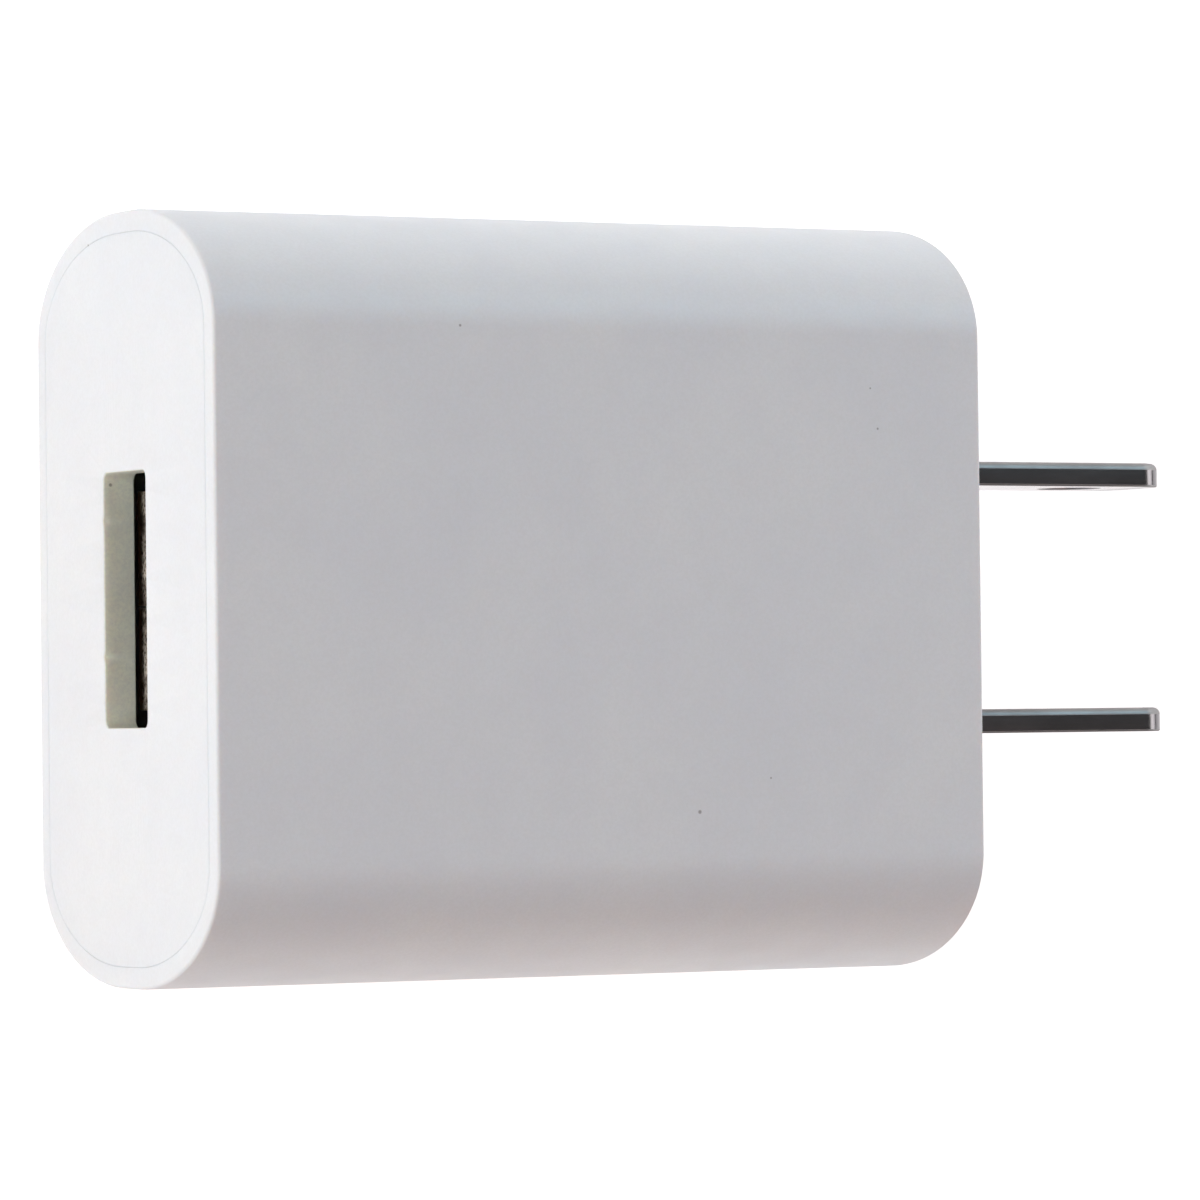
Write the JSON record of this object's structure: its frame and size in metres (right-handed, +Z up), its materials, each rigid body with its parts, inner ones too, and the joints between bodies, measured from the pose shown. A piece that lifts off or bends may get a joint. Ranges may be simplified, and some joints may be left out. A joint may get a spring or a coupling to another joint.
{
  "type": "usb wall charger",
  "caption": "Pill-shaped white plastic mains charger with two flat outlet blades at the back and a USB-A port in an inset front cap.",
  "frame": {"origin": "centre of the flat rear face that meets the wall outlet, midway between the two blades", "axes": "+Y into the outlet along the blades, X along the housing's wide side from blade to blade, +Z up; it lies on a table on its flat lower side, -Z"},
  "size_m": [0.0376, 0.058, 0.021],
  "materials": {
    "black_plastic": "moulded black plastic",
    "board_green": "solder-masked glass fibre board",
    "bobbin_black": "moulded phenolic",
    "can_sleeve": "shrink sleeve over an aluminium can",
    "ceramic_blue": "epoxy-coated ceramic",
    "choke_green": "lacquered ceramic",
    "contact_gold": "gold-flashed spring bronze",
    "ferrite": "sintered grey ferrite",
    "insulation_film": "polyester film",
    "lead_black": "insulated wire",
    "lead_red": "insulated wire",
    "nickel": "bright nickel plating on brass",
    "resistor_tan": "ceramic chip",
    "socket_steel": "tinned sheet steel",
    "tape_yellow": "polyester tape",
    "white_chip": "ceramic chip",
    "white_plastic": "satin white moulded polycarbonate"
  },
  "bodies": {
    "charger": {"blade_left": "nickel", "blade_right": "nickel", "bridge_rectifier": "black_plastic", "bulk_capacitor_left": "can_sleeve", "bulk_capacitor_right": "can_sleeve", "chip_capacitor_clamp": "white_chip", "chip_capacitor_output": "white_chip", "chip_capacitor_supply": "white_chip", "chip_resistor_clamp": "resistor_tan", "chip_resistor_feedback": "resistor_tan", "chip_resistor_sense": "resistor_tan", "chip_resistor_start": "resistor_tan", "circuit_board": "board_green", "clamp_diode": "black_plastic", "front_cap": "white_plastic", "fuse_resistor": "choke_green", "housing_shell": "white_plastic", "input_choke": "ferrite", "insulation_sheet": "insulation_film", "mains_lead_left": "lead_black", "mains_lead_right": "lead_red", "optocoupler": "black_plastic", "output_capacitor_large": "can_sleeve", "output_capacitor_small": "can_sleeve", "output_diode": "black_plastic", "shunt_regulator": "black_plastic", "switcher_chip": "black_plastic", "transformer_bobbin": "bobbin_black", "transformer_core_front": "ferrite", "transformer_core_rear": "ferrite", "transformer_tape": "tape_yellow", "transformer_winding": "tape_yellow", "usb_contact_leg_data_minus": "contact_gold", "usb_contact_leg_data_plus": "contact_gold", "usb_contact_leg_ground": "contact_gold", "usb_contact_leg_power": "contact_gold", "usb_insulator": "black_plastic", "usb_shell": "socket_steel", "y_capacitor": "ceramic_blue"},
    "contact_power": {"usb_contact_spring_power": "contact_gold"},
    "contact_data_minus": {"usb_contact_spring_data_minus": "contact_gold"},
    "contact_data_plus": {"usb_contact_spring_data_plus": "contact_gold"},
    "contact_ground": {"usb_contact_spring_ground": "contact_gold"}
  },
  "joints": [
    {"name": "contact_power_flex", "type": "hinge", "parent": "charger", "child": "contact_power", "pos_m": [-0.0035, -0.0302, 0.00075], "axis": [-1, 0, 0], "range_deg": [0, 3.2], "stiffness_Nm_per_rad": 0.08},
    {"name": "contact_data_minus_flex", "type": "hinge", "parent": "charger", "child": "contact_data_minus", "pos_m": [-0.001, -0.0302, 0.00075], "axis": [-1, 0, 0], "range_deg": [0, 3.2], "stiffness_Nm_per_rad": 0.08},
    {"name": "contact_data_plus_flex", "type": "hinge", "parent": "charger", "child": "contact_data_plus", "pos_m": [0.001, -0.0302, 0.00075], "axis": [-1, 0, 0], "range_deg": [0, 3.2], "stiffness_Nm_per_rad": 0.08},
    {"name": "contact_ground_flex", "type": "hinge", "parent": "charger", "child": "contact_ground", "pos_m": [0.0035, -0.0302, 0.00075], "axis": [-1, 0, 0], "range_deg": [0, 3.2], "stiffness_Nm_per_rad": 0.08}
  ]
}
